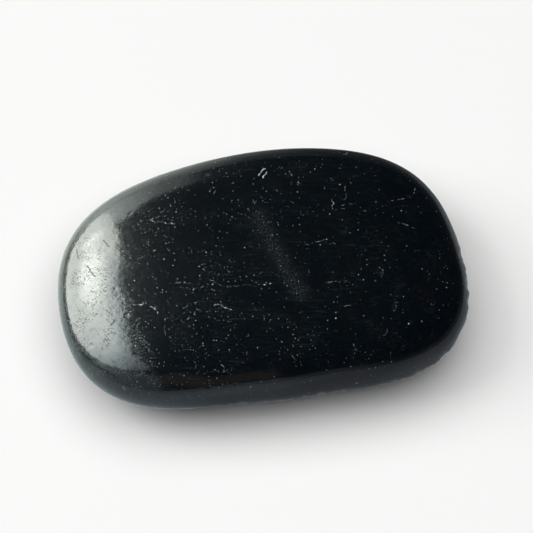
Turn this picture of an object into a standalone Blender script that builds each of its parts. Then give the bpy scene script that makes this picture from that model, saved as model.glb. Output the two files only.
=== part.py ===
"""Polished black tourmaline pebble: one solid stone that rests on a small flat spot.

Units are metres and +Z is up. The stone lies with its length along X and its
width along Y. The origin is on the floor under the middle of its box.
"""

from math import atan2, cos, pi, radians, sin, sqrt, tan

import bmesh
import bpy

# Size of the stone along each axis, before its edge swells and the flat spot is worn
LENGTH = 0.0400
WIDTH = 0.0266
THICKNESS = 0.0117

# How deep the flat spot is worn into the round underside
FLAT_SPOT_DEPTH = 0.00007

# Plan outline: an ellipse whose edge swells out to four soft corners.
# One factor every 22.5 degrees, anticlockwise from the right-hand tip.
EDGE_SWELL = (
    0.975, 1.03, 1.065, 1.045,
    1.03, 1.03, 1.055, 1.05,
    1.005, 1.09, 1.1, 1.005,
    0.985, 1.01, 1.125, 1.105,
)

# Section through the rim: 2 is an ellipse, and more is a fuller pillow.
# The left tip is the roundest and the right-hand shoulder is the fullest.
SECTION_FULLNESS = 2.35
SECTION_CHANGE = 0.25
FULLEST_SIDE = radians(-20.0)

# Slow waves that tumbling leaves in the faces. Each has a height, its number
# of radians per radius along X, Y and Z, and a phase.
FACE_WAVES = (
    (0.00010, 2.1, 0.9, 0.6, 0.4),
    (0.00007, -1.4, 2.6, 1.1, 2.1),
    (0.00005, 3.3, 2.4, -1.7, 4.0),
    (0.00003, -4.6, 3.9, 2.2, 1.2),
)

# Facets along each side of the cube that is blown up into the stone
DIVISIONS = 24

# Polished black tourmaline: a cool near-black
STONE_COLOUR = (0.0045, 0.0055, 0.0065, 1.0)
STONE_ROUGHNESS = 0.12


def edge_swell(turn):
    """Smooth closed curve through the edge factors, at one angle."""
    count = len(EDGE_SWELL)
    total = 0.0
    for index, factor in enumerate(EDGE_SWELL):
        gap = turn - 2.0 * pi * index / count
        if abs(sin(gap / 2.0)) < 1e-9:
            return factor
        total += factor * sin(count * gap / 2.0) / (count * tan(gap / 2.0))
    return total


def face_wave(direction):
    """Height of the slow waves in one direction. They die out towards the flat spot."""
    total = 0.0
    for height, along_x, along_y, along_z, phase in FACE_WAVES:
        reach = along_x * direction.x + along_y * direction.y + along_z * direction.z
        total += height * sin(reach + phase)
    if direction.z < 0.0:
        total *= 1.0 - direction.z ** 2
    return total


def stone_point(direction):
    """The point of the stone's surface that lies in one direction from its middle."""
    ring = max(sqrt(direction.x ** 2 + direction.y ** 2), 1e-9)
    edge_x = LENGTH / 2.0 * direction.x / ring
    edge_y = WIDTH / 2.0 * direction.y / ring
    turn = atan2(edge_y, edge_x)
    swell = edge_swell(turn)
    power = SECTION_FULLNESS + SECTION_CHANGE * cos(turn - FULLEST_SIDE)
    reach = (ring ** power + abs(direction.z) ** power) ** (-1.0 / power)
    wave = face_wave(direction)
    return (
        edge_x * swell * reach * ring + wave * direction.x,
        edge_y * swell * reach * ring + wave * direction.y,
        THICKNESS / 2.0 * reach * direction.z + wave * direction.z,
    )


def make_material():
    """Material of the polished stone."""
    material = bpy.data.materials.new("black_tourmaline")
    material.use_nodes = True
    shader = material.node_tree.nodes["Principled BSDF"]
    shader.inputs["Base Color"].default_value = STONE_COLOUR
    shader.inputs["Roughness"].default_value = STONE_ROUGHNESS
    shader.inputs["Metallic"].default_value = 0.0
    material.diffuse_color = STONE_COLOUR
    material.roughness = STONE_ROUGHNESS
    return material


def blow_up_cube(shape):
    """An evenly divided cube, with each of its corners moved out to the stone's surface."""
    bmesh.ops.create_cube(shape, size=2.0)
    bmesh.ops.subdivide_edges(
        shape,
        edges=shape.edges[:],
        cuts=DIVISIONS - 1,
        use_grid_fill=True,
    )
    for vert in shape.verts:
        for axis in range(3):
            vert.co[axis] = tan(vert.co[axis] * pi / 4.0)
        vert.co = stone_point(vert.co.normalized())


def wear_flat_spot(shape):
    """Cut the lowest part of the belly off flat and close it. Returns the cut's height."""
    floor = min(vert.co.z for vert in shape.verts) + FLAT_SPOT_DEPTH
    bmesh.ops.bisect_plane(
        shape,
        geom=shape.verts[:] + shape.edges[:] + shape.faces[:],
        dist=1e-7,
        plane_co=(0.0, 0.0, floor),
        plane_no=(0.0, 0.0, -1.0),
        clear_outer=True,
    )
    rim = [edge for edge in shape.edges if edge.is_boundary]
    bmesh.ops.contextual_create(shape, geom=rim)
    return floor


def centre_on_floor(shape, floor):
    """Stand the flat spot on the floor, with the middle of the box over the origin."""
    across = [vert.co.x for vert in shape.verts]
    along = [vert.co.y for vert in shape.verts]
    middle_x = (max(across) + min(across)) / 2.0
    middle_y = (max(along) + min(along)) / 2.0
    for vert in shape.verts:
        vert.co.x -= middle_x
        vert.co.y -= middle_y
        vert.co.z -= floor


def make_pebble():
    shape = bmesh.new()
    blow_up_cube(shape)
    floor = wear_flat_spot(shape)
    centre_on_floor(shape, floor)
    bmesh.ops.recalc_face_normals(shape, faces=shape.faces[:])

    mesh = bpy.data.meshes.new("pebble")
    shape.to_mesh(mesh)
    shape.free()
    mesh.shade_smooth()
    mesh.set_sharp_from_angle(angle=radians(30.0))
    mesh.materials.append(make_material())
    pebble = bpy.data.objects.new("pebble", mesh)
    bpy.context.scene.collection.objects.link(pebble)


def main():
    for old in list(bpy.data.objects):
        bpy.data.objects.remove(old, do_unlink=True)
    make_pebble()


main()
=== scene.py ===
"""Polished black tourmaline pebble on a pale studio table.

The stone is one closed mesh. Its body repeats the shape of the fixed frame, and
its skin adds what tumbling leaves: slow waves, nicks, pits, cracks and chips.
Lengths are in metres, and the stone's length lies along X.
"""

from math import cos, pi, radians, sin

import bpy
import numpy as np
from bpy.props import FloatProperty, FloatVectorProperty, IntProperty, PointerProperty
from bpy.types import Operator, Panel, PropertyGroup
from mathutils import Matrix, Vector


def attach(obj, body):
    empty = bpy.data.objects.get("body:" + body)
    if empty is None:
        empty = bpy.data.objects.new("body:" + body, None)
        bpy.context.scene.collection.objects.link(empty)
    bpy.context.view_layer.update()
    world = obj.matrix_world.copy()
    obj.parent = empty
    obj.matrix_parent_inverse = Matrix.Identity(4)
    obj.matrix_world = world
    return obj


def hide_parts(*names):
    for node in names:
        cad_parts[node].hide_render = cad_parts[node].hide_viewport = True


bl_info = {
    "name": "Tourmaline Pebble",
    "version": (1, 0, 0),
    "blender": (4, 5, 0),
    "location": "View3D > Sidebar > Stone",
    "description": "Makes a polished black tourmaline pebble and its studio table",
    "category": "Add Mesh",
}

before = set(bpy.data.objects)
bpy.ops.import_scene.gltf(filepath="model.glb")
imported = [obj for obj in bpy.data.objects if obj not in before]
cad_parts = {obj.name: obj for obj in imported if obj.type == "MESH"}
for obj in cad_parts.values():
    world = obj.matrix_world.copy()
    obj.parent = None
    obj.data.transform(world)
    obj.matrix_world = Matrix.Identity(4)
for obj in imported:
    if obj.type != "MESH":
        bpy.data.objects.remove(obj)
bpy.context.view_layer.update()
MM = 0.001

# Plan outline of the stone: an ellipse whose edge swells out to four soft corners,
# with one factor every 22.5 degrees from the right-hand tip
EDGE_SWELL = (
    0.975, 1.03, 1.065, 1.045,
    1.03, 1.03, 1.055, 1.05,
    1.005, 1.09, 1.1, 1.005,
    0.985, 1.01, 1.125, 1.105,
)
SECTION_FULLNESS = 2.35
SECTION_CHANGE = 0.25
FULLEST_SIDE = radians(-20.0)
FLAT_SPOT_DEPTH = 0.00007

# Slow waves of the faces: height, radians per radius along X, Y and Z, phase
FACE_WAVES = (
    (0.00010, 2.1, 0.9, 0.6, 0.4),
    (0.00007, -1.4, 2.6, 1.1, 2.1),
    (0.00005, 3.3, 2.4, -1.7, 4.0),
    (0.00003, -4.6, 3.9, 2.2, 1.2),
)

# Nicks on the top: place, radius and depth in millimetres, and how dusty they are
TOP_NICKS = (
    (1.65, 8.7, 0.50, 0.080, 0.0),
    (-17.4, -6.5, 0.26, 0.050, 1.0),
    (-3.95, 9.6, 0.28, 0.025, 0.2),
    (-4.7, -5.85, 0.24, 0.040, 0.6),
    (-11.0, -4.8, 0.26, 0.035, 0.5),
    (-13.6, -4.75, 0.20, 0.030, 0.5),
    (3.55, 10.7, 0.17, 0.030, 0.9),
    (4.25, 7.95, 0.18, 0.025, 0.5),
    (4.75, 6.5, 0.18, 0.030, 0.9),
    (7.4, -5.3, 0.16, 0.020, 0.8),
    (10.9, -4.8, 0.30, 0.025, 0.4),
    (11.7, -8.2, 0.40, 0.020, 0.16),
    (12.85, -9.8, 0.16, 0.020, 0.6),
    (7.3, -11.6, 0.24, 0.025, 0.3),
    (-14.9, -11.1, 0.26, 0.040, 1.0),
    (-14.4, -11.5, 0.18, 0.030, 1.0),
    (-8.0, -7.3, 0.16, 0.020, 0.6),
    (-8.8, -12.9, 0.26, 0.040, 0.3),
    (16.2, 2.25, 0.16, 0.020, 0.6),
    (-13.6, 8.2, 0.22, 0.030, 0.1),
)

# Chipped edge: from and to which angle round the stone, and the slanting direction in which
# the skin's lean is measured and in which the deeper chips are drawn out
CHIPPED_EDGE = (radians(-108.0), radians(-5.0))
CHIP_SLOPE = (-0.078, -0.494, 0.866)
# Chips: how many, least and greatest lean, radius in millimetres, depth by radius, stretch,
# sharpness and whether they are drawn out across the edge
CHIPS = (
    (260, (-0.45, -0.10), (0.20, 0.50), (0.12, 0.38), (1.0, 2.0), 0.8, False),
    (24, (-0.01, 0.07), (0.25, 0.60), (0.16, 0.32), (3.5, 5.0), 0.6, True),
    (40, (-0.01, 0.07), (0.14, 0.26), (0.25, 0.50), (4.0, 6.0), 0.6, True),
)
# Places where the chipped edge is flatter: angle round the stone, radius and depth in
# millimetres, and the lean at which they lie
EDGE_FLATS = ((radians(-37.0), 2.4, 0.20), (radians(-62.0), 1.8, 0.07))
FLATS_LEAN = 0.03
# Small nicks all over and along the rim: how many, radius in millimetres, depth by radius
SMALL_NICKS = (240, (0.10, 0.22), (0.03, 0.10))
RIM_NICKS = (120, (0.12, 0.34), (0.04, 0.14))
# Share of the small nicks that are on top, and how far the skin may face up or down where
# the rim ends and where the top begins
NICKS_ON_TOP = 0.6
RIM_NORMAL = 0.75
SIDE_NORMAL = 0.05
# Most dust that a small nick holds, and how far dust fills a nick
NICK_DUST = (0.0, 0.15)
DUST_FILL = 1.6
# Stretch and sharpness of the nicks on the top
TOP_NICK_STRETCH = (1.0, 1.7)
TOP_NICK_SHARPNESS = 1.1
# Shallow waves of the skin: wavelength and height in millimetres
SKIN_WAVES = ((3.2, 0.0030), (1.3, 0.0010))
# Seeds of the random wear and waves
WEAR_SEED = 11
WAVES_SEED = 5

# How far the grid is drawn from the rim towards the faces, in radians
GRID_SPREAD = radians(20.0)


def length_property(name, default, description):
    return FloatProperty(name=name, description=description, default=default, unit="LENGTH")


def colour_property(name, default, description):
    return FloatVectorProperty(
        name=name, description=description, default=default, size=3, subtype="COLOR"
    )


class StoneSettings(PropertyGroup):
    """Sizes and colours of the pebble."""

    length: length_property("Length", 0.0400, "Length of the stone before its edge swells")
    width: length_property("Width", 0.0266, "Width of the stone before its edge swells")
    thickness: length_property(
        "Thickness", 0.0117, "Thickness of the stone before its flat spot is worn"
    )
    top_cells: IntProperty(
        name="Top cells",
        description="Mesh cells across the stone's top, an even number",
        default=204,
    )
    rim_rows: IntProperty(
        name="Rim rows",
        description="Rows of mesh cells round the stone's rim",
        default=54,
    )
    colour: colour_property(
        "Stone colour", (0.0002, 0.0015, 0.0029), "Colour of the polished stone"
    )
    warm_colour: colour_property(
        "Warm tint", (0.0011, 0.0014, 0.0019), "Colour of the stone where it is faintly brown"
    )
    dust_colour: colour_property(
        "Dust colour", (0.61, 0.73, 0.76),
        "Colour of the polishing dust left in pits and cracks",
    )
    clay_colour: colour_property(
        "Clay colour", (0.76, 0.71, 0.56), "Colour of the dust where it is yellowish"
    )
    gloss: FloatProperty(
        name="Polish roughness",
        description="Roughness of the polish where it is best",
        default=0.077,
        subtype="FACTOR",
    )


class StageSettings(PropertyGroup):
    """Camera, table and lights."""

    turn: FloatProperty(
        name="Camera turn",
        description="Angle of the camera round the stone",
        default=radians(-9.0),
        subtype="ANGLE",
    )
    rise: FloatProperty(
        name="Camera rise",
        description="Angle of the camera above the table",
        default=radians(60.0),
        subtype="ANGLE",
    )
    distance: length_property("Camera distance", 0.330, "Distance from the camera to the stone")
    view_width: length_property("View width", 0.0520, "Width of the picture at the stone")
    table_radius: length_property("Table radius", 0.100, "Radius of the pale table")
    table_colour: colour_property(
        "Table colour", (0.80, 0.80, 0.79), "Colour of the pale table"
    )
    softbox_strength: FloatProperty(
        name="Softbox strength",
        description="Brightness of the large soft light on the left",
        default=9.45,
    )
    left_power: FloatProperty(
        name="Left light",
        description="Power of the soft light that the table gets from the left",
        default=5.0,
        unit="POWER",
    )
    fill_power: FloatProperty(
        name="Fill light",
        description="Power of the soft light above",
        default=14.0,
        unit="POWER",
    )


def edge_swell(turn):
    """Smooth closed curve through the edge factors, at an array of angles."""
    count = len(EDGE_SWELL)
    total = np.zeros_like(turn)
    for index, factor in enumerate(EDGE_SWELL):
        gap = turn - 2.0 * pi * index / count
        gap = np.where(np.abs(np.sin(gap / 2.0)) < 1e-6, gap + 1e-5, gap)
        total += factor * np.sin(count * gap / 2.0) / (count * np.tan(gap / 2.0))
    return total


def face_wave(directions):
    """Height of the slow waves in an array of directions, dying out towards the flat spot."""
    total = np.zeros(len(directions))
    for height, along_x, along_y, along_z, phase in FACE_WAVES:
        total += height * np.sin(directions @ np.array((along_x, along_y, along_z)) + phase)
    below = directions[:, 2] < 0.0
    total[below] *= 1.0 - directions[below, 2] ** 2
    return total


def stone_points(around, down, settings):
    """Points of the smooth body, from angles round the stone and down from its top."""
    edge_x = settings.length / 2.0 * np.cos(around)
    edge_y = settings.width / 2.0 * np.sin(around)
    turn = np.arctan2(edge_y, edge_x)
    power = SECTION_FULLNESS + SECTION_CHANGE * np.cos(turn - FULLEST_SIDE)
    out = np.clip(np.sin(down), 0.0, 1.0)
    rise = np.sign(np.cos(down)) * np.clip(1.0 - out ** power, 0.0, 1.0) ** (1.0 / power)
    directions = np.stack((out * np.cos(around), out * np.sin(around), rise), axis=1)
    directions /= np.linalg.norm(directions, axis=1)[:, None]
    reach = edge_swell(turn) * out
    points = np.stack((edge_x * reach, edge_y * reach, settings.thickness / 2.0 * rise), axis=1)
    return points + face_wave(directions)[:, None] * directions


def cube_angles(x, y, z):
    """Angles round and down of points on a cube, drawn out so that the faces get more cells."""
    down = np.arctan2(np.hypot(x, y), z)
    return np.arctan2(y, x), down + GRID_SPREAD * np.sin(2.0 * down)


def square_loop(cells):
    """Corners of a square's rim, anticlockwise from its lower left, as columns and rows."""
    side = np.arange(cells)
    columns = np.concatenate((side, np.full(cells, cells), cells - side, np.zeros(cells, int)))
    rows = np.concatenate((np.zeros(cells, int), side, np.full(cells, cells), cells - side))
    return columns, rows


def grid_faces(cells, first, upward):
    """Quads of a square grid of corners that are numbered row by row."""
    column, row = np.meshgrid(np.arange(cells), np.arange(cells))
    corner = (first + row * (cells + 1) + column).ravel()
    quads = np.stack((corner, corner + 1, corner + cells + 2, corner + cells + 1), axis=1)
    return quads if upward else quads[:, ::-1]


def stone_mesh(settings):
    """Corner angles and faces of a closed skin: fine top, banded rim and coarser belly."""
    top = settings.top_cells
    belly = top // 2
    rows = settings.rim_rows

    def even(cells):
        return np.tan(np.linspace(-pi / 4.0, pi / 4.0, cells + 1))

    x, y = np.meshgrid(even(top), even(top))
    angles = [cube_angles(x.ravel(), y.ravel(), np.ones(x.size))]
    column, row = square_loop(top)
    loop = row * (top + 1) + column
    faces = [grid_faces(top, 0, True)]
    count = x.size
    loop_x, loop_y = even(top)[column], even(top)[row]
    for level in even(rows)[::-1][1:-1]:
        angles.append(cube_angles(loop_x, loop_y, np.full(loop_x.size, level)))
        lower = count + np.arange(loop_x.size)
        ahead = np.roll(np.arange(loop_x.size), -1)
        faces.append(np.stack((loop, lower, lower[ahead], loop[ahead]), axis=1))
        loop = lower
        count += loop_x.size

    x, y = np.meshgrid(even(belly), even(belly))
    angles.append(cube_angles(x.ravel(), y.ravel(), -np.ones(x.size)))
    column, row = square_loop(belly)
    coarse = count + row * (belly + 1) + column
    coarse_next = np.roll(coarse, -1)
    first, middle, last = loop[0::2], loop[1::2], np.roll(loop[0::2], -1)
    triangles = np.concatenate((
        np.stack((first, coarse, middle), axis=1),
        np.stack((middle, coarse, coarse_next), axis=1),
        np.stack((middle, coarse_next, last), axis=1),
    ))
    faces.append(grid_faces(belly, count, False))
    around = np.concatenate([a for a, _ in angles])
    down = np.concatenate([d for _, d in angles])
    quads = np.concatenate(faces)
    return around, down, quads, triangles


def mesh_from_arrays(name, points, quads, triangles):
    """Blender mesh from arrays of corners, quads and triangles."""
    mesh = bpy.data.meshes.new(name)
    mesh.vertices.add(len(points))
    mesh.vertices.foreach_set("co", points.astype(np.float32).ravel())
    corners = np.concatenate((quads.ravel(), triangles.ravel())).astype(np.int32)
    starts = np.concatenate((
        np.arange(len(quads)) * 4,
        len(quads) * 4 + np.arange(len(triangles)) * 3,
    )).astype(np.int32)
    mesh.loops.add(len(corners))
    mesh.loops.foreach_set("vertex_index", corners)
    mesh.polygons.add(len(starts))
    mesh.polygons.foreach_set("loop_start", starts)
    mesh.update(calc_edges=True)
    mesh.validate()
    mesh.shade_smooth()
    return mesh


def vertex_normals(mesh):
    """Normals of a mesh's corners as an array."""
    normals = np.empty(len(mesh.vertices) * 3, np.float32)
    mesh.vertex_normals.foreach_get("vector", normals)
    return normals.reshape(-1, 3).astype(float)


def skin_waves(points, rng, wavelength, height, count=24):
    """Shallow random waves over the skin, as a height at every point."""
    total = np.zeros(len(points))
    for _ in range(count):
        way = rng.normal(size=3)
        way *= 2.0 * pi / wavelength / np.linalg.norm(way)
        total += np.sin(points @ way + rng.uniform(0.0, 2.0 * pi))
    return total * height / count ** 0.5


class Wear:
    """Nicks and chips pressed into a skin, and the dust that they hold."""

    def __init__(self, points, normals, rng):
        self.points = points
        self.normals = normals
        self.rng = rng
        self.depth = np.zeros(len(points))
        self.dust = np.zeros(len(points))

    def nearest(self, x, y, top=True):
        """Point of the skin over or under a place in plan."""
        gap = np.hypot(self.points[:, 0] - x, self.points[:, 1] - y)
        gap[(self.normals[:, 2] < SIDE_NORMAL) == top] = 1.0
        return self.points[np.argmin(gap)]

    def nick(self, centre, radius, depth, dust=0.0, stretch=1.0, sharpness=1.3, way=None):
        """Press one nick, drawn out in the given direction or else in a random one."""
        away = self.points - centre
        near = np.flatnonzero(np.abs(away).max(axis=1) < radius * stretch)
        away = away[near]
        if way is None:
            way = self.rng.normal(size=3)
            way /= np.linalg.norm(way)
        away -= np.outer(away @ way * (1.0 - 1.0 / stretch), way)
        gap = np.linalg.norm(away, axis=1) / radius
        bowl = np.clip(1.0 - gap, 0.0, 1.0) ** sharpness
        self.depth[near] = np.maximum(self.depth[near], depth * bowl)
        held = dust * np.clip(DUST_FILL * (1.0 - gap), 0.0, 1.0)
        self.dust[near] = np.maximum(self.dust[near], held)


def wear_skin(points, normals, settings):
    """Depth of the wear and dust in it at every point of the skin."""
    rng = np.random.default_rng(WEAR_SEED)
    wear = Wear(points, normals, rng)
    for x, y, radius, depth, dust in TOP_NICKS:
        centre = wear.nearest(x * MM, y * MM)
        stretch = rng.uniform(*TOP_NICK_STRETCH)
        wear.nick(centre, radius * MM, depth * MM, dust, stretch, TOP_NICK_SHARPNESS)
    half_length, half_width = settings.length / 2.0, settings.width / 2.0
    nicks, radii, depths = SMALL_NICKS
    for _ in range(nicks):
        turn, out = rng.uniform(0.0, 2.0 * pi), rng.uniform(0.0, 1.0) ** 0.5
        x, y = half_length * out * cos(turn), half_width * out * sin(turn)
        centre = wear.nearest(x, y, rng.uniform() < NICKS_ON_TOP)
        radius = rng.uniform(*radii) * MM
        wear.nick(centre, radius, radius * rng.uniform(*depths), rng.uniform(*NICK_DUST))
    rim = np.flatnonzero(np.abs(normals[:, 2]) < RIM_NORMAL)
    nicks, radii, depths = RIM_NICKS
    for index in rng.choice(rim, nicks, replace=False):
        radius = rng.uniform(*radii) * MM
        wear.nick(points[index], radius, radius * rng.uniform(*depths), rng.uniform(*NICK_DUST))
    start, end = CHIPPED_EDGE
    around = np.arctan2(points[:, 1] / half_width, points[:, 0] / half_length)
    along = (around > start) & (around < end)
    slope = np.array(CHIP_SLOPE)
    lean = normals @ slope
    for turn, radius, depth in EDGE_FLATS:
        index = np.argmin(np.abs(around - turn) + np.abs(lean - FLATS_LEAN))
        wear.nick(points[index], radius * MM, depth * MM)
    for count, leans, radii, depths, stretches, sharpness, across in CHIPS:
        edge = np.flatnonzero(along & (lean > leans[0]) & (lean < leans[1]))
        for index in rng.choice(edge, count, replace=False):
            radius = rng.uniform(*radii) * MM
            depth = radius * rng.uniform(*depths)
            stretch = rng.uniform(*stretches)
            way = slope if across else None
            wear.nick(points[index], radius, depth, 0.0, stretch, sharpness, way)
    return wear.depth, wear.dust


# Flat map of the skin: middle and reach of the large patch for the upper half, and of the
# patch above it for the under half
TOP_PATCH = (0.45, 0.32, 0.44, 0.312)
UNDER_PATCH = (0.26, 0.82, 0.25, 0.175)
# Share of the rim's height in how far the map reaches out, and the steps that measure it
RIM_SHARE = 0.35
MAP_STEPS = 200


def add_bake_map(mesh, around, down):
    """Flat map of the skin: the upper half large, with the under half above it."""
    steps = np.linspace(0.0, pi / 2.0, MAP_STEPS)
    out = np.sin(steps)
    rise = (1.0 - out ** SECTION_FULLNESS) ** (1.0 / SECTION_FULLNESS)
    pieces = np.hypot(np.diff(out), RIM_SHARE * np.diff(rise))
    length = np.concatenate(((0.0,), np.cumsum(pieces)))
    corners = np.empty(len(mesh.loops), np.int32)
    mesh.loops.foreach_get("vertex_index", corners)
    starts = np.empty(len(mesh.polygons), np.int32)
    mesh.polygons.foreach_get("loop_start", starts)
    counts = np.diff(np.append(starts, len(corners)))
    middles = np.add.reduceat(down[corners], starts) / counts
    under = np.repeat(middles > pi / 2.0, counts)
    turn, fall = around[corners], down[corners]
    reach = np.interp(np.where(under, pi - fall, fall), steps, length / length[-1])
    patch = np.where(under[:, None], UNDER_PATCH, TOP_PATCH)
    across = patch[:, 0] + patch[:, 2] * reach * np.cos(turn)
    along = patch[:, 1] + patch[:, 3] * reach * np.sin(turn)
    flat = np.stack((across, along), axis=1)
    layer = mesh.uv_layers.new(name="OFBake")
    layer.uv.foreach_set("vector", flat.astype(np.float32).ravel())


class Nodes:
    """Adds nodes to a material and joins them."""

    def __init__(self, tree):
        self.tree = tree

    def add(self, kind, settings=None, **inputs):
        """New node, with its own settings and with its inputs filled or joined."""
        node = self.tree.nodes.new(kind)
        for key, value in (settings or {}).items():
            setattr(node, key, value)
        for key, value in inputs.items():
            self.put(node, key.replace("_", " "), value)
        return node

    def put(self, node, socket, value):
        """Fill an input with a value, or join it to another node's output."""
        target = node.inputs[int(socket)] if socket.isdigit() else node.inputs[socket]
        if isinstance(value, bpy.types.NodeSocket):
            self.tree.links.new(value, target)
        else:
            target.default_value = value

    def math(self, operation, first, second=0.0, clamp=False):
        """Sum, product or other measure of one or two numbers."""
        node = self.tree.nodes.new("ShaderNodeMath")
        node.operation = operation
        node.use_clamp = clamp
        self.put(node, "0", first)
        self.put(node, "1", second)
        return node.outputs[0]

    def plus(self, first, second):
        return self.math("ADD", first, second)

    def minus(self, first, second, clamp=False):
        return self.math("SUBTRACT", first, second, clamp)

    def times(self, first, second):
        return self.math("MULTIPLY", first, second)

    def larger(self, first, second):
        return self.math("MAXIMUM", first, second)

    def vector(self, operation, first, second=None):
        """Vector sum or measure of one or two vectors, or of a vector and a factor."""
        node = self.tree.nodes.new("ShaderNodeVectorMath")
        node.operation = operation
        self.put(node, "0", first)
        if operation == "SCALE":
            self.put(node, "Scale", second)
        elif second is not None:
            self.put(node, "1", second)
        measures = ("DOT_PRODUCT", "DISTANCE", "LENGTH")
        return node.outputs["Value" if operation in measures else "Vector"]

    def split(self, place):
        """The three coordinates of a place."""
        return self.add("ShaderNodeSeparateXYZ", Vector=place).outputs

    def noise(self, place, scale, detail):
        """Soft random field."""
        node = self.add("ShaderNodeTexNoise", Vector=place, Scale=scale, Detail=detail)
        return node.outputs["Fac"]

    def ramp(self, value, low, high, first=0.0, last=1.0, smooth=True):
        """Value mapped from low..high to first..last, held at both ends."""
        node = self.tree.nodes.new("ShaderNodeMapRange")
        node.interpolation_type = "SMOOTHSTEP" if smooth else "LINEAR"
        node.clamp = True
        for socket, number in zip(range(5), (value, low, high, first, last)):
            self.put(node, str(socket), number)
        return node.outputs[0]

    def patches(self, place, scale, detail, low, high, first=0.0, last=1.0):
        """Soft random patches, from first outside them to last inside."""
        return self.ramp(self.noise(place, scale, detail), low, high, first, last)

    def mix(self, factor, first, second):
        """Mix of two colours."""
        node = self.tree.nodes.new("ShaderNodeMix")
        node.data_type = "RGBA"
        self.put(node, "0", factor)
        self.put(node, "6", first)
        self.put(node, "7", second)
        return node.outputs[2]


# Cracks and scratches on the top: half width, brightness, and their course in millimetres
MARKS = (
    (0.05, 0.40, ((-10.0, 5.06), (-9.69, 4.68), (-9.22, 4.57), (-8.54, 4.19), (-7.9, 4.07))),
    (0.04, 0.16, ((-10.94, 2.82), (-10.55, 2.49), (-10.58, 1.89), (-10.95, 1.90))),
    (0.05, 0.16, ((-8.32, 4.68), (-7.77, 4.29), (-7.76, 3.55))),
    (0.05, 0.24, ((-8.67, -2.71), (-7.94, -2.69), (-7.14, -3.0), (-6.85, -3.4), (-7.2, -4.08))),
    (
        0.04, 0.08,
        ((-5.32, -3.07), (-4.79, -3.5), (-4.27, -3.99), (-3.22, -4.15), (-1.65, -4.21)),
    ),
    (0.05, 0.40, ((-5.38, -5.72), (-4.88, -5.69), (-4.44, -6.08), (-3.82, -6.41))),
    (0.05, 0.32, ((-14.21, -3.11), (-13.65, -3.57), (-12.5, -4.01), (-11.64, -4.04))),
    (0.04, 0.22, ((-11.9, -3.28), (-11.64, -4.04))),
    (0.05, 0.22, ((-14.1, -1.38), (-13.79, -2.84), (-13.65, -3.57))),
    (0.05, 0.40, ((-11.26, -4.49), (-11.01, -4.76), (-10.78, -5.26))),
    (0.04, 0.06, ((-10.17, -6.23), (-10.31, -7.0), (-10.37, -7.89))),
    (0.04, 0.12, ((-8.03, -10.44), (-7.9, -10.88), (-8.04, -11.25))),
    (0.05, 0.16, ((-3.84, 7.14), (-3.53, 7.78), (-3.19, 7.4), (-3.49, 6.78))),
    (0.04, 0.05, ((-9.01, -2.99), (-7.36, -3.48), (-5.46, -3.8))),
    (0.04, 0.05, ((-8.48, -5.89), (-5.82, -6.28))),
    (0.04, 0.30, ((4.14, 8.3), (4.35, 7.65))),
    (0.05, 0.25, ((7.6, 4.06), (7.82, 3.67), (7.5, 3.33), (7.66, 2.84))),
    (0.04, 0.16, ((9.22, 5.61), (9.07, 4.88))),
    (0.04, 0.14, ((9.13, 4.48), (8.94, 3.9))),
    (0.04, 0.17, ((4.32, -0.79), (5.34, -0.64), (6.52, -0.4))),
    (0.04, 0.08, ((8.42, 3.3), (9.83, 3.36))),
    (0.05, 0.12, ((13.06, 3.47), (14.12, 3.62), (15.42, 4.05))),
    (0.04, 0.18, ((16.29, 5.41), (15.9, 4.47))),
    (0.04, 0.16, ((13.54, 0.94), (14.52, 0.55), (15.2, 0.19))),
    (0.04, 0.28, ((-1.19, -4.33), (-0.24, -4.48), (0.82, -4.43))),
    (0.04, 0.10, ((5.38, -5.07), (6.9, -5.25))),
    (0.04, 0.14, ((6.58, -7.66), (7.26, -7.75), (8.04, -7.63))),
    (0.04, 0.12, ((10.6, -12.12), (10.53, -12.53))),
    (0.04, 0.08, ((0.91, -10.92), (1.58, -11.78))),
    (0.05, 0.26, ((10.81, -4.01), (11.22, -4.44), (10.9, -5.11))),
    (0.04, 0.16, ((11.55, -7.65), (11.97, -7.95), (11.66, -8.52))),
    (0.04, 0.14, ((7.17, -11.18), (7.39, -11.6), (7.14, -12.01))),
)

# How a mark's edges fade: full inside the first share of its half width, gone at the second
MARK_EDGE = (0.1, 1.1)
# Height in millimetres between which the sides end and the top begins
TOP_BEGINS = (5.5, 6.5)
# Uneven shake of the marks: noise scale and octaves, and how far it moves them
SHAKE = (2.4, 5.0)
SHAKE_REACH = 0.5

# Course of the hazy streak across the top, and its half width, in millimetres
STREAK = ((0.35, 3.30), (1.30, -0.90), (2.00, -3.30), (2.95, -5.90))
STREAK_WIDTH = 1.5
# Farther in millimetres than the streak reaches
FAR_AWAY = 9.0
# Middle of the dustiest part of the top, and how far out it fades, in millimetres
DUSTY_SHOULDER = (-9.5, 8.0, 0.0)
SHOULDER_FADE = (1.0, 7.0, 0.75, 0.0)
# Dust falls off along the stone: from and to which place, and how much there
DUSTIER_END = (-10.0, 12.0, 1.45, 0.40)

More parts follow.
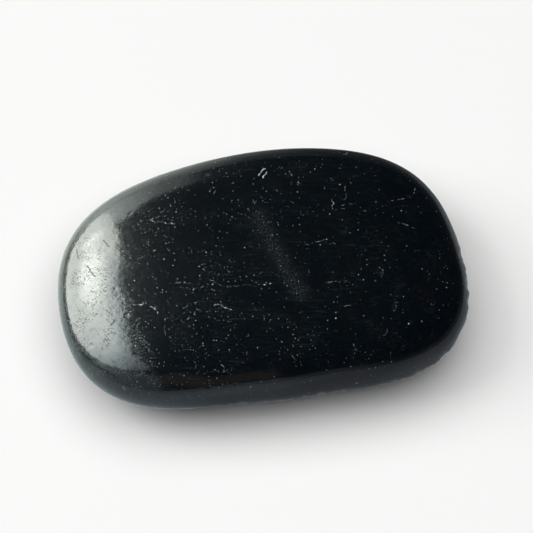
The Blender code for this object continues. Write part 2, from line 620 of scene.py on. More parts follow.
# Soft patches: noise scale per millimetre, octaves, the noise between which they begin,
# and their strength outside and inside
BREAKS = (3.2, 2.0, 0.42, 0.66, 0.02, 1.6)
BEADS = (7.0, 1.0, 0.40, 0.64, 0.25, 2.2)
CROWD = (0.32, 3.0, 0.34, 0.68, 0.15, 1.0)
KNOTS = (1.1, 2.0, 0.52, 0.68, 0.12, 1.0)
HAZE = (9.0, 2.0, 0.42, 0.70, 0.002, 0.024)
POWDER = (8.0, 2.0, 0.54, 0.76, 0.0, 0.024)
GROWTH = (0.5, 2.0, 0.38, 0.62)
WORN = (0.7, 2.0, 0.42, 0.60, 0.15, 1.0)
WARM = (0.45, 2.0, 0.45, 0.70)
CLAY = (0.8, 1.0, 0.60, 0.74)
CLOUD = (0.30, 4.0, 0.30, 0.75, 0.0, 0.03)
MOTTLE = (2.0, 4.0, 0.40, 0.68, 0.0, 0.05)
# Knots of grit are drawn out across the stone
KNOT_STRETCH = (1.0, 0.4, 1.0)

# Dust specks: size of the cells that they are scattered in, largest radius, share of the
# cells that hold one, and how rare the bright ones are, with lengths in millimetres. The
# glints are partly pale dust and partly painted highlights of pits that catch the light
FINE_SPECKS = (0.26, 0.050, 0.90, 3.0)
GRIT = (0.46, 0.070, 0.95, 1.5)
CRUMBS = (0.21, 0.085, 1.10, 0.8)
STREAK_GRAINS = (0.24, 0.085, 0.85, 1.2)
GLINTS = (1.50, 0.088, 0.34, 0.7)
# Smallest speck by the largest, brightness, and where a speck's edge fades
SMALLEST_SPECK = 0.45
SPECK_BRIGHTNESS = (0.13, 1.0)
SPECK_EDGE = (0.5, 1.0, 1.0, 0.0)
# Least crowding for glints
GLINT_CROWD = 0.5

# Curved cracks: size of the cells and share that hold one, radius, where the line's edge
# fades, how much of the circle shows, brightness and how rare the bright ones are
CRESCENTS = (1.3, 0.30)
CRESCENT_RADIUS = (0.10, 0.50)
CRESCENT_LINE = (0.01, 0.045, 1.0, 0.0)
CRESCENT_ARC = (0.15, 0.6)
CRESCENT_BRIGHTNESS = (0.01, 0.22)
CRESCENT_RARITY = 2.0

# The crystal's fine growth lines, hairlines in the polish, and the coarser scratches that
# knocks leave on the left tip: direction in degrees and length in millimetres
GROWTH_LINES = (-9.0, 3.0)
HAIRS = ((-6.0, 1.3), (78.0, 0.8))
RUBS = ((-55.0, 1.0), (24.0, 0.8), (-28.0, 0.7))
# Width of each in millimetres, and the noise between which its lines begin
GROWTH_GRAIN = (0.11, 0.54, 0.74)
HAIR_GRAIN = (0.055, 0.60, 0.72)
RUB_GRAIN = (0.09, 0.65, 0.71)
# Slant of the left tip, and where it begins in millimetres
TIP_SLANT = (1.0, 0.25, 0.0)
TIP_BEGINS = (-13.6, -14.9)
# The stone is warmer from here to there along its length, in millimetres
WARM_SIDE = (-6.0, 4.0)

# How much dust each layer shows
HELD_DUST = 0.05
STREAK_DUST = 0.05
HAIR_DUST = 0.018
POWDER_BY_CROWD = (0.0, 1.3, 0.10, 0.80)
DUST_COVER = 0.95
GROWTH_DUST = 0.011
# Roughness that dust, rubs and growth lines add to the polish
DUST_ROUGHNESS = (0.004, 0.09, 0.0, 0.42)
RUB_ROUGHNESS = 0.22
GROWTH_ROUGHNESS = 0.03
# Relief in millimetres: fine unevenness, dents on the left tip, rubs, and the pits under
# the two kinds of specks, with the noise scale and octaves of the first two
RELIEF = (2.2, 3.0)
RELIEF_HEIGHT = 0.008
DENTS = (1.0, 2.0)
DENT_HEIGHT = 0.017
RUB_DEPTH = 0.016
FINE_PIT_DEPTH = 0.03
GRIT_PIT_DEPTH = 0.04

# Tourmaline's refractive index, and the thin worn coat over the polish
STONE_IOR = 1.64
COAT_WEIGHT = 0.22
COAT_ROUGHNESS = 0.33
COAT_IOR = 1.5

# Strokes of the one fresh chip, and deeper scratches on the left tip: half width,
# brightness or depth, and their course in millimetres
FRESH_CHIP = (
    (0.050, 0.85, ((1.14, 8.33), (1.78, 9.27), (1.90, 9.10))),
    (0.050, 1.00, ((2.00, 8.78), (1.55, 7.89))),
)
GROOVES = (
    (0.05, 0.03, ((-16.65, 1.77), (-16.42, 1.06), (-16.07, 0.26))),
    (0.07, 0.05, ((-15.27, -5.34), (-14.80, -5.03))),
    (0.06, 0.03, ((-17.43, 4.14), (-17.31, 3.05))),
    (0.06, 0.03, ((-14.70, 3.97), (-14.29, 3.19))),
)


def distance_to_line(nodes, place, start, end):
    """Distance in millimetres from a place to a short straight line on the top."""
    start, end = Vector((*start, 0.0)), Vector((*end, 0.0))
    way = (end - start).normalized()
    away = nodes.vector("SUBTRACT", place, start)
    along = nodes.larger(nodes.vector("DOT_PRODUCT", away, way), 0.0)
    along = nodes.math("MINIMUM", along, (end - start).length)
    return nodes.vector("DISTANCE", away, nodes.vector("SCALE", way, along))


def drawn_marks(nodes, flat, marks):
    """Strength of short drawn lines on the top, such as cracks and scratches."""
    total = 0.0
    for width, level, course in marks:
        for start, end in zip(course, course[1:]):
            gap = distance_to_line(nodes, flat, start, end)
            inner, outer = (share * width for share in MARK_EDGE)
            mark = nodes.ramp(gap, inner, outer, level, 0.0)
            total = nodes.larger(mark, total)
    return total


def scattered_cells(nodes, place, size):
    """Cells with a point in each, and three random numbers for every cell."""
    cells = nodes.add("ShaderNodeTexVoronoi", Vector=place, Scale=1.0 / size)
    chance = nodes.add("ShaderNodeSeparateColor", Color=cells.outputs["Color"])
    return cells.outputs, chance.outputs


def only_some(nodes, shape, chance, crowd, rarity, levels):
    """A shape in the cells that hold one, brighter in a few of them."""
    there = nodes.math("LESS_THAN", chance[1], crowd)
    bright = nodes.math("POWER", chance[2], rarity)
    bright = nodes.ramp(bright, 0.0, 1.0, *levels, smooth=False)
    return nodes.times(nodes.times(shape, there), bright)


def specks(nodes, place, kind, crowd):
    """One kind of dust specks, thicker where crowd is high."""
    size, radius, share, rarity = kind
    cells, chance = scattered_cells(nodes, place, size)
    least, most = SMALLEST_SPECK * radius / size, radius / size
    grain = nodes.ramp(chance[0], 0.0, 1.0, least, most, smooth=False)
    dot = nodes.ramp(nodes.math("DIVIDE", cells["Distance"], grain), *SPECK_EDGE)
    return only_some(nodes, dot, chance, nodes.times(crowd, share), rarity, SPECK_BRIGHTNESS)


def crescents(nodes, place, crowd):
    """Small curved cracks that knocks leave, as arcs of circles scattered in cells."""
    size, share = CRESCENTS
    cells, chance = scattered_cells(nodes, place, size)
    away = nodes.vector("SUBTRACT", place, cells["Position"])
    reach = nodes.vector("LENGTH", away)
    radius = nodes.ramp(chance[0], 0.0, 1.0, *CRESCENT_RADIUS, smooth=False)
    gap = nodes.math("ABSOLUTE", nodes.minus(reach, radius))
    line = nodes.ramp(gap, *CRESCENT_LINE)
    way = nodes.vector("SUBTRACT", cells["Color"], (0.5, 0.5, 0.5))
    facing = nodes.vector(
        "DOT_PRODUCT", nodes.vector("NORMALIZE", away), nodes.vector("NORMALIZE", way)
    )
    arc = nodes.ramp(facing, *CRESCENT_ARC)
    line = nodes.times(line, arc)
    crowd = nodes.times(crowd, share)
    return only_some(nodes, line, chance, crowd, CRESCENT_RARITY, CRESCENT_BRIGHTNESS)


def long_grain(nodes, place, course, grain):
    """Thin lines drawn out along one direction of the top."""
    turn, length = radians(course[0]), course[1]
    width, low, high = grain
    along = Vector((cos(turn), sin(turn), 0.0)) / length
    across = Vector((-sin(turn), cos(turn), 0.0)) / width
    stretched = nodes.add(
        "ShaderNodeCombineXYZ",
        X=nodes.vector("DOT_PRODUCT", place, along),
        Y=nodes.vector("DOT_PRODUCT", place, across),
        Z=nodes.vector("DOT_PRODUCT", place, (0.0, 0.0, 1.0 / width)),
    ).outputs[0]
    return nodes.ramp(nodes.noise(stretched, 1.0, 1.0), low, high)


def drawn_streak(nodes, flat):
    """Strength of the hazy streak across the top."""
    gap = FAR_AWAY
    for start, end in zip(STREAK, STREAK[1:]):
        gap = nodes.math("MINIMUM", distance_to_line(nodes, flat, start, end), gap)
    return nodes.ramp(gap, 0.0, STREAK_WIDTH, 1.0, 0.0)


def stone_material(settings):
    """Near-black polish with uneven gloss, fine growth lines, cracks and dusty specks."""
    material = bpy.data.materials.new("black_tourmaline")
    material.use_nodes = True
    nodes = Nodes(material.node_tree)
    shader = material.node_tree.nodes["Principled BSDF"]
    place = nodes.vector("SCALE", nodes.add("ShaderNodeTexCoord").outputs["Object"], 1.0 / MM)
    x, _, z = nodes.split(place)
    on_top = nodes.ramp(z, *TOP_BEGINS)
    slant = nodes.vector("DOT_PRODUCT", place, TIP_SLANT)
    left_tip = nodes.ramp(slant, *TIP_BEGINS)

    # Cracks, scratches, the fresh chip and the streak
    scale, detail = SHAKE
    shake = nodes.add("ShaderNodeTexNoise", Vector=place, Scale=scale, Detail=detail)
    shake = nodes.vector("SUBTRACT", shake.outputs["Color"], (0.5, 0.5, 0.5))
    shaken = nodes.vector("ADD", place, nodes.vector("SCALE", shake, SHAKE_REACH))
    flat = nodes.vector("MULTIPLY", shaken, (1.0, 1.0, 0.0))
    breaks = nodes.patches(place, *BREAKS)
    marks = nodes.times(drawn_marks(nodes, flat, MARKS), breaks)
    marks = nodes.times(marks, nodes.patches(place, *BEADS))
    marks = nodes.larger(marks, drawn_marks(nodes, flat, FRESH_CHIP))
    marks = nodes.times(marks, on_top)
    streak = nodes.times(drawn_streak(nodes, flat), on_top)

    # Where dust crowds, and its specks, crumbs, curved cracks and glints; the glints are
    # partly dust and partly painted highlights of pits that catch the light
    held = nodes.add("ShaderNodeAttribute", {"attribute_name": "dust"}).outputs["Fac"]
    dustier = nodes.ramp(x, *DUSTIER_END, smooth=False)
    shoulder = nodes.vector("DISTANCE", flat, DUSTY_SHOULDER)
    shoulder = nodes.ramp(shoulder, *SHOULDER_FADE)
    crowd = nodes.times(nodes.patches(place, *CROWD), dustier)
    crowd = nodes.larger(crowd, shoulder)
    knots = nodes.patches(nodes.vector("MULTIPLY", place, KNOT_STRETCH), *KNOTS)
    fine = specks(nodes, place, FINE_SPECKS, nodes.larger(crowd, streak))
    grit = specks(nodes, place, GRIT, nodes.times(crowd, knots))
    crumbs = specks(nodes, place, CRUMBS, held)
    arcs = nodes.times(crescents(nodes, shaken, crowd), breaks)
    grains = specks(nodes, place, STREAK_GRAINS, streak)
    glints = specks(nodes, place, GLINTS, nodes.larger(crowd, GLINT_CROWD))
    haze = nodes.times(grains, STREAK_DUST)
    haze = nodes.plus(nodes.patches(place, *HAZE), haze)

    # Powdery hairlines of the polish
    powder = nodes.patches(place, *POWDER)
    for course in HAIRS:
        line = long_grain(nodes, place, course, HAIR_GRAIN)
        powder = nodes.larger(nodes.times(line, HAIR_DUST), powder)
    thick = nodes.ramp(crowd, *POWDER_BY_CROWD, smooth=False)
    powder = nodes.times(powder, thick)

    # Growth lines, and the rubs of the left tip
    growth = long_grain(nodes, place, GROWTH_LINES, GROWTH_GRAIN)
    growth = nodes.times(growth, nodes.patches(place, *GROWTH))
    rubs = 0.0
    for course in RUBS:
        rubs = nodes.larger(long_grain(nodes, place, course, RUB_GRAIN), rubs)
    rubs = nodes.times(rubs, nodes.patches(place, *WORN))
    rubs = nodes.times(rubs, left_tip)

    # Colour
    dust = nodes.larger(marks, nodes.times(held, HELD_DUST))
    for layer in (fine, grit, crumbs, arcs, powder):
        dust = nodes.larger(dust, layer)
    # The glints go into the colour unweakened: partly pale dust and partly painted highlights
    # of pits that catch the light
    dust = nodes.larger(nodes.times(dust, DUST_COVER), glints)
    dust = nodes.plus(dust, nodes.times(streak, haze))
    hurt = nodes.ramp(dust, *DUST_ROUGHNESS, smooth=False)
    dust = nodes.plus(dust, nodes.times(growth, GROWTH_DUST))
    warm = nodes.ramp(x, *WARM_SIDE)
    warm = nodes.times(nodes.patches(place, *WARM), warm)
    body = nodes.mix(warm, (*settings.colour, 1.0), (*settings.warm_colour, 1.0))
    clay = nodes.minus(nodes.patches(place, *CLAY), streak, clamp=True)
    pale = nodes.mix(clay, (*settings.dust_colour, 1.0), (*settings.clay_colour, 1.0))
    nodes.put(shader, "Base Color", nodes.mix(dust, body, pale))

    # Roughness
    rough = nodes.plus(nodes.patches(place, *CLOUD), nodes.patches(place, *MOTTLE))
    rough = nodes.plus(rough, settings.gloss)
    rough = nodes.plus(rough, nodes.times(rubs, RUB_ROUGHNESS))
    rough = nodes.plus(rough, nodes.times(growth, GROWTH_ROUGHNESS))
    nodes.put(shader, "Roughness", nodes.plus(rough, hurt))

    # Relief
    height = nodes.times(nodes.noise(place, *RELIEF), RELIEF_HEIGHT)
    dents = nodes.times(nodes.noise(place, *DENTS), left_tip)
    height = nodes.plus(height, nodes.times(dents, DENT_HEIGHT))
    grooves = nodes.times(drawn_marks(nodes, flat, GROOVES), on_top)
    for layer, depth in (
        (rubs, RUB_DEPTH), (grooves, 1.0), (fine, FINE_PIT_DEPTH), (grit, GRIT_PIT_DEPTH),
    ):
        height = nodes.minus(height, nodes.times(layer, depth))
    bump = nodes.add("ShaderNodeBump", Strength=1.0, Distance=MM, Height=height)
    nodes.put(shader, "Normal", bump.outputs[0])
    nodes.put(shader, "Coat Normal", bump.outputs[0])

    nodes.put(shader, "IOR", STONE_IOR)
    nodes.put(shader, "Coat Weight", COAT_WEIGHT)
    nodes.put(shader, "Coat Roughness", COAT_ROUGHNESS)
    nodes.put(shader, "Coat IOR", COAT_IOR)
    return material


class STONE_OT_shape_pebble(Operator):
    """Shape the black tourmaline pebble"""

    bl_idname = "stone.shape_pebble"
    bl_label = "Shape Pebble"
    bl_options = {"REGISTER", "UNDO"}

    def execute(self, context):
        settings = context.scene.stone
        around, down, quads, triangles = stone_mesh(settings)
        points = stone_points(around, down, settings)
        middle = (points.max(axis=0) + points.min(axis=0)) / 2.0
        floor = FLAT_SPOT_DEPTH - settings.thickness / 2.0
        points -= (middle[0], middle[1], floor)
        points[:, 2] = np.maximum(points[:, 2], 0.0)
        mesh = mesh_from_arrays("polished_pebble", points, quads, triangles)
        normals = vertex_normals(mesh)
        depth, dust = wear_skin(points, normals, settings)
        rng = np.random.default_rng(WAVES_SEED)
        waves = np.zeros(len(points))
        for wavelength, height in SKIN_WAVES:
            waves += skin_waves(points, rng, wavelength * MM, height * MM)
        points += normals * (waves - depth)[:, None]
        points[:, 2] = np.maximum(points[:, 2], 0.0)
        mesh.vertices.foreach_set("co", points.astype(np.float32).ravel())
        mesh.update()
        mesh.attributes.new("dust", "FLOAT", "POINT").data.foreach_set(
            "value", dust.astype(np.float32)
        )
        add_bake_map(mesh, around, down)
        mesh.materials.append(stone_material(settings))
        pebble = bpy.data.objects.new("polished_pebble", mesh)
        context.scene.collection.objects.link(pebble)
        pebble["middle"] = [-float(middle[0]), -float(middle[1]), -float(floor)]
        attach(pebble, "root")
        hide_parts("pebble")
        return {"FINISHED"}


def sky_point(around, above, distance, turn):
    """Point seen from the stone at an angle left of the camera's forward, and an angle up."""
    left = turn + around
    return Vector((
        -sin(left) * cos(above),
        cos(left) * cos(above),
        sin(above),
    )) * distance


def stage_mesh(context, name, corners, material, faces=None):
    """Stage object from corners and faces, or with one face between all its corners."""
    mesh = bpy.data.meshes.new(name)
    mesh.from_pydata(corners, [], faces or [tuple(range(len(corners)))])
    mesh.materials.append(material)
    thing = bpy.data.objects.new(name, mesh)
    context.scene.collection.objects.link(thing)
    return thing


def seen_by(thing, camera=False, diffuse=False, glossy=False, shadow=False):
    """Which rays meet a stage object."""
    thing.visible_camera = camera
    thing.visible_diffuse = diffuse
    thing.visible_glossy = glossy
    thing.visible_shadow = shadow
    thing.visible_transmission = False
    thing.visible_volume_scatter = False


def matt_material(name, colour, roughness):
    """Material of one colour without a shine."""
    material = bpy.data.materials.new(name)
    material.use_nodes = True
    shader = material.node_tree.nodes["Principled BSDF"]
    shader.inputs["Base Color"].default_value = (*colour, 1.0)
    shader.inputs["Roughness"].default_value = roughness
    shader.inputs["Specular IOR Level"].default_value = 0.0
    return material


# Angles below are what the stone sees: degrees left of the camera's forward, degrees up.
SOFTBOX_CORNERS = (
    (54.5, 51.5), (44.5, 46.5), (36.5, 36), (32, 25), (30, 14), (31, 1), (50, 1),
    (68, 0.5), (82, 2.5), (91, 13), (103, 22), (113, 27), (121, 34), (132, 43), (150, 51),
    (126, 55.5), (102, 57.7), (76, 56),
)
SOFTBOX_FACING = (85, 30)
SOFTBOX_DISTANCE = 1.2
# Brightness of the softbox by degrees left: bright near its lamp and dim at the far side
SOFTBOX_LEVELS = (
    (32, 0.52), (37, 0.70), (44, 0.76), (58, 0.74), (68, 0.84), (76, 0.86), (90, 0.73),
    (102, 0.55), (114, 0.39), (126, 0.25), (138, 0.12), (150, 0.05),
)
# Where the softbox's lamps show through its cloth: their places, width and extra brightness
LAMPS = (((56, 34), 0.30, 0.95), ((44, 23), 0.20, 0.85))
# Heights in metres between which the softbox grows dim and cooler, how dim, and its tint
SOFTBOX_TOP = (0.94, 1.12)
SOFTBOX_TOP_LEVEL = 0.70
SOFTBOX_TOP_TINT = (0.86, 1.0, 1.02)
# Tint of the softbox by degrees left
SOFTBOX_TINTS = (
    (32, (0.95, 1.0, 0.925)), (60, (0.95, 1.0, 0.925)), (84, (0.93, 1.0, 0.945)),
    (96, (0.92, 1.0, 0.97)), (108, (0.86, 1.0, 0.99)), (125, (0.81, 1.0, 1.04)),
    (150, (0.80, 1.0, 1.04)),
)

# Dimmer sides of the light tent behind and beside the softbox, and their brightness by
# degrees left
TENT_BACK = ((11, 16.5), (11, -6), (31, -6), (31, 30.5), (24, 24), (16, 18.5))
TENT_FRONT = ((84, 3), (84, -6), (170, -6), (170, 40), (134, 42), (119, 28), (100, 17))
TENT_FACING = (85, 15)
TENT_DISTANCE = 1.3
TENT_LEVELS = (
    (11, 0.25), (16, 0.7), (22, 1.5), (30, 2.8), (88, 0.65), (102, 0.6), (114, 0.85),
    (126, 0.6), (138, 0.45), (150, 0.32), (170, 0.22),
)

# Brightness of the table as the stone mirrors it, once round from behind the camera:
# degrees left, then brightness close to the stone, a little way off and far away. This is
# painted light and shade: a painted pool of light towards the softbox on the left, and the
# stone's shadow painted close to it and over the right-hand side
TABLE_LEVELS = (
    (-180, 0.17, 0.40, 0.30), (-172, 0.17, 0.38, 0.26), (-157, 0.15, 0.25, 0.06),
    (-142, 0.15, 0.22, 0.06), (-127, 0.12, 0.26, 0.08), (-112, 0.08, 0.22, 0.06),
    (-97, 0.10, 0.26, 0.08), (-82, 0.20, 0.37, 0.09), (-67, 0.26, 0.32, 0.04),
    (-52, 0.55, 0.22, 0.02), (-37, 1.00, 0.13, 0.04), (-22, 1.30, 0.06, 0.04),
    (-7, 1.20, 0.07, 0.05), (7, 0.60, 0.22, 0.12), (22, 0.48, 0.65, 0.80),
    (37, 0.40, 1.05, 2.10), (45, 0.36, 1.30, 1.50), (52, 0.35, 1.50, 0.80),
    (60, 0.45, 1.70, 0.45), (67, 0.50, 1.80, 0.30), (82, 0.48, 1.65, 0.25),
    (97, 0.36, 1.20, 0.60), (112, 0.60, 1.00, 1.00), (127, 0.52, 0.85, 0.78),
    (142, 0.42, 0.56, 0.62), (157, 0.20, 0.50, 0.48), (172, 0.14, 0.42, 0.36),
    (180, 0.17, 0.40, 0.30),
)
# How far from the stone's middle the close part of the table ends and the far part begins
TABLE_CLOSE = (0.013, 0.027)
TABLE_FAR = (0.042, 0.058)
# Tint of the table and the tent by degrees left
TABLE_TINTS = (
    (-180, (0.90, 1.0, 1.12)), (-60, (0.93, 1.0, 1.06)), (-20, (0.90, 1.0, 1.00)),
    (10, (0.88, 1.0, 0.96)), (40, (0.91, 1.0, 0.93)), (75, (0.90, 1.0, 0.93)),
    (100, (0.83, 1.0, 0.98)), (125, (0.85, 1.0, 1.02)), (150, (0.84, 1.0, 1.10)),
    (180, (0.90, 1.0, 1.12)),
)

# Dark edge of the softbox's lower frame, which stands nearer than its cloth, and its tint
# and brightness
SOFTBOX_FRAME = (
    (54, -7), (66, -4.5), (78, -7), (88, -5), (97, 1), (108, 8), (120, 13), (134, 16),
    (134, 20), (120, 19), (108, 14), (96, 8), (87, 2), (78, -1), (66, 1), (54, -2),
)
FRAME_DISTANCE = 0.95
FRAME_GLOW = ((0.86, 1.0, 0.98), 0.20)

# Dim warm strip of the room behind the camera
WARM_STRIP = (
    (166, 47), (176, 42), (183, 33), (189, 20), (190, 4), (184, 4), (177, 15), (170, 27),
    (163, 36),
)
WARM_FACING = (177, 28)
WARM_GLOW = ((1.0, 0.76, 0.62), 0.14)

# Roughness and corners of the round table, how much wider the mirrored table is and how far
# under it, and where the far floor ends
TABLE_ROUGHNESS = 0.9
TABLE_CORNERS = 96
MIRRORED_SPREAD = 10.0
MIRRORED_DEPTH = -0.1 * MM
FAR_FLOOR_RADIUS = 6.0

# Soft lights on the table: the left one's angles, and the size of each
LEFT_LIGHT_ANGLES = (85.0, 42.0)
LEFT_LIGHT_SIZE = 0.7
FILL_SIZE = 1.6
# Glow of the dark room
ROOM_COLOUR = (0.75, 0.95, 1.2, 1.0)
ROOM_GLOW = 0.016

# Where the camera aims, right of and above the stone's middle in the picture, its
# sensor's width in millimetres, and from where to where it sees
AIM_RIGHT = 0.45 * MM
AIM_UP = 1.08 * MM
SENSOR_WIDTH = 36.0
NEAR_CLIP = 0.01
FAR_CLIP = 20.0


def panel_corners(corners, facing, distance, turn):
    """Corners of a flat panel that the stone sees at the given angles."""
    normal = sky_point(radians(facing[0]), radians(facing[1]), 1.0, turn)
    points = []
    for around, above in corners:
        ray = sky_point(radians(around), radians(above), 1.0, turn)
        points.append(ray * (distance / ray.dot(normal)))
    return points


def glow_nodes(name, colour=(1.0, 1.0, 1.0), strength=1.0):
    """Material that only glows. Returns it, its nodes and the emission node."""
    material = bpy.data.materials.new(name)
    material.use_nodes = True
    material.node_tree.nodes.clear()
    nodes = Nodes(material.node_tree)
    glow = nodes.add("ShaderNodeEmission", Strength=strength)
    glow.inputs["Color"].default_value = (*colour, 1.0)
    nodes.add("ShaderNodeOutputMaterial", Surface=glow.outputs[0])
    return material, nodes, glow


def colour_by_angle(nodes, colours, turn):
    """Colour by the angle at which a point stands left of the camera's forward."""
    x, y, _ = nodes.split(nodes.add("ShaderNodeNewGeometry").outputs["Position"])
    forward = Vector((-sin(turn), cos(turn)))
    along = nodes.plus(nodes.times(x, forward.x), nodes.times(y, forward.y))
    across = nodes.minus(nodes.times(y, forward.x), nodes.times(x, forward.y))
    angle = nodes.math("ARCTAN2", across, along)
    ramp = nodes.add("ShaderNodeValToRGB")
    stops = ramp.color_ramp.elements
    for degrees, _ in colours[1:-1]:
        stops.new((degrees + 180.0) / 360.0)
    stops[0].position = (colours[0][0] + 180.0) / 360.0
    stops[-1].position = (colours[-1][0] + 180.0) / 360.0
    for stop, (_, colour) in zip(stops, colours):
        stop.color = (*colour, 1.0)
    nodes.put(ramp, "0", nodes.ramp(angle, -pi, pi, 0.0, 1.0, smooth=False))
    return ramp.outputs[0]


def level_by_angle(nodes, levels, turn):
    """Brightness by the angle at which a point stands left of the camera's forward."""
    top = max(level for _, level in levels)
    greys = [(degrees, (level / top,) * 3) for degrees, level in levels]
    return nodes.times(colour_by_angle(nodes, greys, turn), top)


def add_softbox(context, stage):
    """The large soft light on the left, with its lamps showing through the cloth."""
    corners = panel_corners(SOFTBOX_CORNERS, SOFTBOX_FACING, SOFTBOX_DISTANCE, stage.turn)
    material, nodes, glow = glow_nodes("softbox_cloth")
    tint = colour_by_angle(nodes, SOFTBOX_TINTS, stage.turn)
    level = level_by_angle(nodes, SOFTBOX_LEVELS, stage.turn)
    place = nodes.add("ShaderNodeNewGeometry").outputs["Position"]
    top = nodes.ramp(nodes.split(place)[2], *SOFTBOX_TOP)
    nodes.put(glow, "Color", nodes.mix(top, tint, (*SOFTBOX_TOP_TINT, 1.0)))
    for lamp, reach, extra in LAMPS:
        middle = panel_corners((lamp,), SOFTBOX_FACING, SOFTBOX_DISTANCE, stage.turn)[0]
        away = nodes.vector("DISTANCE", place, middle)
        spot = nodes.ramp(away, 0.0, reach * SOFTBOX_DISTANCE, extra, 0.0)
        level = nodes.plus(level, spot)
    dimmer = nodes.ramp(top, 0.0, 1.0, 1.0, SOFTBOX_TOP_LEVEL, smooth=False)
    level = nodes.times(level, dimmer)
    nodes.put(glow, "Strength", nodes.times(level, stage.softbox_strength))
    softbox = stage_mesh(context, "softbox", corners, material)
    seen_by(softbox, glossy=True)


def add_tent(context, stage):
    """The dimmer cloth beside the softbox, seen by the polish alone."""
    for name, shape in (("tent_back", TENT_BACK), ("tent_front", TENT_FRONT)):
        corners = panel_corners(shape, TENT_FACING, TENT_DISTANCE, stage.turn)
        material, nodes, glow = glow_nodes(name)
        nodes.put(glow, "Color", colour_by_angle(nodes, TABLE_TINTS, stage.turn))
        nodes.put(glow, "Strength", level_by_angle(nodes, TENT_LEVELS, stage.turn))
        tent = stage_mesh(context, name, corners, material)
        seen_by(tent, glossy=True)


def add_strips(context, stage):
    """The softbox's dark lower frame and the faintly warm room, seen by the polish alone."""
    for name, shape, facing, distance, glow in (
        ("softbox_frame", SOFTBOX_FRAME, SOFTBOX_FACING, FRAME_DISTANCE, FRAME_GLOW),
        ("warm_room", WARM_STRIP, WARM_FACING, TENT_DISTANCE, WARM_GLOW),
    ):
        corners = panel_corners(shape, facing, distance, stage.turn)
        material = glow_nodes(name, *glow)[0]
        strip = stage_mesh(context, name, corners, material)
        seen_by(strip, glossy=True)


def ring_of_points(radius, count, height):
    """Points round a level circle."""
    return [
        Vector((radius * cos(2 * pi * i / count), radius * sin(2 * pi * i / count), height))
        for i in range(count)
    ]


def add_table(context, stage):
    """The pale table: one disc for the eye and, just under it, one that the polish mirrors,
    which glows with the table's light and shade painted in.
    """
    count = TABLE_CORNERS
    paper = matt_material("table_paper", stage.table_colour, TABLE_ROUGHNESS)
    rim = ring_of_points(stage.table_radius, count, 0.0)
    disc = stage_mesh(context, "table", rim, paper)
    seen_by(disc, camera=True, diffuse=True, shadow=True)

    # Glowing copy of the table that the polish mirrors: its light and shade, with the stone's
    # shadow close to it, are painted into the glow by angle and distance, not cast by the
    # lights
    material, nodes, glow = glow_nodes("table_painted_light")
    place = nodes.add("ShaderNodeNewGeometry").outputs["Position"]
    reach = nodes.vector("LENGTH", place)
    close = nodes.ramp(reach, *TABLE_CLOSE, 1.0, 0.0)
    far = nodes.ramp(reach, *TABLE_FAR)
    between = nodes.minus(nodes.minus(1.0, close), far)
    level = 0.0
    for column, share in ((1, close), (2, between), (3, far)):
        levels = [(row[0], row[column]) for row in TABLE_LEVELS]
        part = nodes.times(level_by_angle(nodes, levels, stage.turn), share)
        level = nodes.plus(part, level)
    nodes.put(glow, "Color", colour_by_angle(nodes, TABLE_TINTS, stage.turn))
    nodes.put(glow, "Strength", level)
    rim = ring_of_points(stage.table_radius * MIRRORED_SPREAD, count, MIRRORED_DEPTH)
    mirrored = stage_mesh(context, "table_painted_light", rim, material)
    seen_by(mirrored, glossy=True)

    inner = ring_of_points(stage.table_radius, count, 0.0)
    outer = ring_of_points(FAR_FLOOR_RADIUS, count, 0.0)
    faces = [(i, i + count, (i + 1) % count + count, (i + 1) % count) for i in range(count)]
    pale = glow_nodes("far_floor_paper")[0]
    far_floor = stage_mesh(context, "far_floor", inner + outer, pale, faces)
    seen_by(far_floor, camera=True)


def add_soft_light(context, name, place, size, power):
    """Round soft light that shines on the table and the dust, and leaves the polish alone."""
    light = bpy.data.lights.new(name, "AREA")
    light.shape = "DISK"
    light.size = size
    light.energy = power
    lamp = bpy.data.objects.new(name, light)
    lamp.location = place
    lamp.rotation_mode = "QUATERNION"
    lamp.rotation_quaternion = (-place).to_track_quat("-Z", "Y")
    lamp.visible_camera = False
    lamp.visible_glossy = False
    context.scene.collection.objects.link(lamp)


def add_world(context):
    """Dark, slightly cool room."""
    world = bpy.data.worlds.new("dark_room")
    context.scene.world = world
    world.use_nodes = True
    back = world.node_tree.nodes["Background"]
    back.inputs["Color"].default_value = ROOM_COLOUR
    back.inputs["Strength"].default_value = ROOM_GLOW


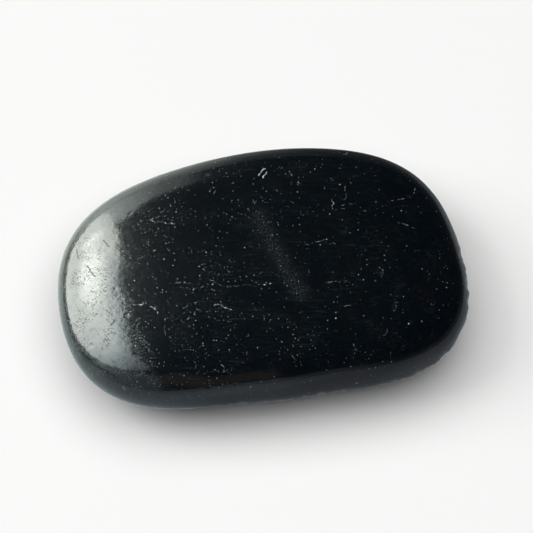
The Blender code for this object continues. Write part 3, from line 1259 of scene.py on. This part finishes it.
def add_camera(context, stage):
    """Camera at the photographed angle."""
    stone = bpy.data.objects["polished_pebble"]
    middle = Vector(stone["middle"])
    right = Vector((cos(stage.turn), sin(stage.turn), 0.0))
    back = Vector((
        sin(stage.turn) * cos(stage.rise),
        -cos(stage.turn) * cos(stage.rise),
        sin(stage.rise),
    ))
    up = back.cross(right)
    aim = middle + right * AIM_RIGHT + up * AIM_UP
    lens = bpy.data.cameras.new("camera")
    lens.sensor_width = SENSOR_WIDTH
    lens.lens = SENSOR_WIDTH * stage.distance / stage.view_width
    lens.clip_start = NEAR_CLIP
    lens.clip_end = FAR_CLIP
    camera = bpy.data.objects.new("camera", lens)
    camera.location = aim + back * stage.distance
    camera.rotation_mode = "QUATERNION"
    camera.rotation_quaternion = (-back).to_track_quat("-Z", "Y")
    context.scene.collection.objects.link(camera)
    context.scene.camera = camera


class STONE_OT_set_stage(Operator):
    """Set the pale table, the studio lights and the camera"""

    bl_idname = "stone.set_stage"
    bl_label = "Set Stage"
    bl_options = {"REGISTER", "UNDO"}

    def execute(self, context):
        stage = context.scene.stone_stage
        add_camera(context, stage)
        add_table(context, stage)
        add_softbox(context, stage)
        add_tent(context, stage)
        add_strips(context, stage)
        around, above = LEFT_LIGHT_ANGLES
        from_left = sky_point(radians(around), radians(above), 1.0, stage.turn)
        add_soft_light(context, "left_light", from_left, LEFT_LIGHT_SIZE, stage.left_power)
        overhead = Vector((0.0, 0.0, 1.0))
        add_soft_light(context, "fill", overhead, FILL_SIZE, stage.fill_power)
        add_world(context)
        context.scene.view_settings.view_transform = "Standard"
        return {"FINISHED"}


class STONE_PT_sidebar(Panel):
    """Sizes, colours and steps of the pebble"""

    bl_idname = "STONE_PT_sidebar"
    bl_label = "Tourmaline Pebble"
    bl_space_type = "VIEW_3D"
    bl_region_type = "UI"
    bl_category = "Stone"

    def draw(self, context):
        for group in (context.scene.stone, context.scene.stone_stage):
            box = self.layout.box()
            for name in group.__annotations__:
                box.prop(group, name)
        self.layout.operator("stone.shape_pebble")
        self.layout.operator("stone.set_stage")


CLASSES = (
    StoneSettings,
    StageSettings,
    STONE_OT_shape_pebble,
    STONE_OT_set_stage,
    STONE_PT_sidebar,
)


def register():
    for cls in CLASSES:
        bpy.utils.register_class(cls)
    bpy.types.Scene.stone = PointerProperty(type=StoneSettings)
    bpy.types.Scene.stone_stage = PointerProperty(type=StageSettings)


def unregister():
    del bpy.types.Scene.stone_stage
    del bpy.types.Scene.stone
    for cls in reversed(CLASSES):
        bpy.utils.unregister_class(cls)


def main():
    register()
    bpy.ops.stone.shape_pebble()
    bpy.ops.stone.set_stage()


if __name__ == "__main__":
    main()
